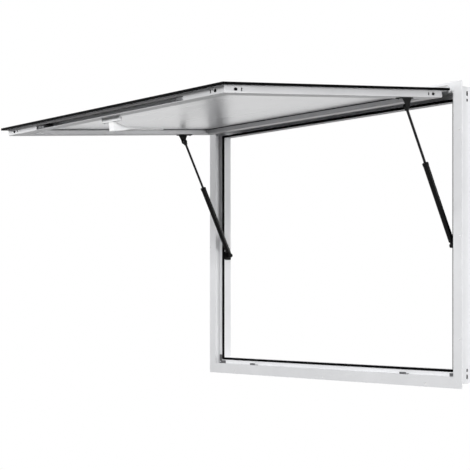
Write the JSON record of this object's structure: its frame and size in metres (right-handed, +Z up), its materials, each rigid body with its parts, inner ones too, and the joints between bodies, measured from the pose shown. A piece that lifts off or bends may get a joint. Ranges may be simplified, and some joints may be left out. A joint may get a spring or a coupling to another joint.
{
  "type": "concession window",
  "caption": "Serving hatch window: a flanged aluminium frame with a top-hung awning panel held open by gas struts, with a lever latch on its free edge.",
  "frame": {"origin": "middle of the frame's bottom edge, on the back face of the mounting flange, where it meets the wall", "axes": "+X to the right seen from outside, +Y inwards through the wall, +Z up"},
  "size_m": [1.2192, 0.9314, 0.9144],
  "materials": {
    "frame_aluminium": "satin anodised mill extrusion",
    "rim_aluminium": "satin anodised mill extrusion",
    "skin_aluminium": "satin sheet",
    "lining_board": "silver coated lining board, low sheen",
    "gasket_rubber": "matt black foam bulb seal",
    "trim_rubber": "matt black extruded edge trim",
    "black_steel": "black powder coat",
    "rod_steel": "blackened polished rod",
    "zinc_steel": "zinc plated",
    "handle_enamel": "white enamel on a casting",
    "latch_case_metal": "white enamel"
  },
  "bodies": {
    "frame": {"frame_head": "frame_aluminium", "frame_left_jamb": "frame_aluminium", "frame_right_jamb": "frame_aluminium", "frame_sill": "frame_aluminium", "head_gasket": "gasket_rubber", "hinge_rail": "frame_aluminium", "left_jamb_gasket": "gasket_rubber", "left_keeper": "zinc_steel", "left_low_bracket": "black_steel", "left_low_stud": "zinc_steel", "right_jamb_gasket": "gasket_rubber", "right_keeper": "zinc_steel", "right_low_bracket": "black_steel", "right_low_stud": "zinc_steel", "sill_gasket": "gasket_rubber"},
    "awning": {"awning_free_bar": "rim_aluminium", "awning_hinge_bar": "rim_aluminium", "awning_left_bar": "rim_aluminium", "awning_liner": "lining_board", "awning_right_bar": "rim_aluminium", "awning_skin": "skin_aluminium", "free_edge_trim": "trim_rubber", "hinge_leaf": "frame_aluminium", "latch_case": "latch_case_metal", "left_edge_trim": "trim_rubber", "left_top_bracket": "black_steel", "left_top_stud": "black_steel", "right_edge_trim": "trim_rubber", "right_top_bracket": "black_steel", "right_top_stud": "black_steel"},
    "left_rod": {"left_strut_rod": "rod_steel", "left_strut_top_eye": "black_steel"},
    "left_tube": {"left_strut_tube": "black_steel", "left_strut_low_eye": "black_steel"},
    "right_rod": {"right_strut_rod": "rod_steel", "right_strut_top_eye": "black_steel"},
    "right_tube": {"right_strut_tube": "black_steel", "right_strut_low_eye": "black_steel"},
    "handle": {"latch_handle": "handle_enamel"},
    "left_bolt": {"left_latch_bolt": "zinc_steel"},
    "right_bolt": {"right_latch_bolt": "zinc_steel"}
  },
  "joints": [
    {"name": "awning_hinge", "type": "hinge", "parent": "frame", "child": "awning", "pos_m": [0, -0.015, 0.897], "axis": [1, 0, 0], "range_deg": [0, 85.1]},
    {"name": "left_rod_pivot", "type": "hinge", "parent": "awning", "child": "left_rod", "pos_m": [-0.541, -0.16822, 0.82866], "axis": [-1, 0, 0], "range_deg": [0, 112.86]},
    {"name": "left_tube_slide", "type": "slide", "parent": "left_rod", "child": "left_tube", "axis": [0, -0.4541, 0.8909], "range_m": [0, 0.13919]},
    {"name": "right_rod_pivot", "type": "hinge", "parent": "awning", "child": "right_rod", "pos_m": [0.541, -0.16822, 0.82866], "axis": [-1, 0, 0], "range_deg": [0, 112.86]},
    {"name": "right_tube_slide", "type": "slide", "parent": "right_rod", "child": "right_tube", "axis": [0, -0.4541, 0.8909], "range_m": [0, 0.13919]},
    {"name": "handle_turn", "type": "hinge", "parent": "awning", "child": "handle", "pos_m": [0, -0.83143, 0.7969], "axis": [0, 0.0854, -0.9963], "range_deg": [0, 90]},
    {"name": "left_bolt_slide", "type": "slide", "parent": "awning", "child": "left_bolt", "axis": [0, -0.9963, -0.0854], "range_m": [0, 0.01]},
    {"name": "right_bolt_slide", "type": "slide", "parent": "awning", "child": "right_bolt", "axis": [0, -0.9963, -0.0854], "range_m": [0, 0.01]}
  ],
  "couplings": [
    {"joint": "left_rod_pivot", "follows": "awning_hinge", "ratio": 1.326},
    {"joint": "left_tube_slide", "follows": "awning_hinge", "m_per_rad": 0.093708},
    {"joint": "right_rod_pivot", "follows": "awning_hinge", "ratio": 1.326},
    {"joint": "right_tube_slide", "follows": "awning_hinge", "m_per_rad": 0.093708},
    {"joint": "left_bolt_slide", "follows": "handle_turn", "m_per_rad": 0.0063662},
    {"joint": "right_bolt_slide", "follows": "handle_turn", "m_per_rad": 0.0063662}
  ]
}
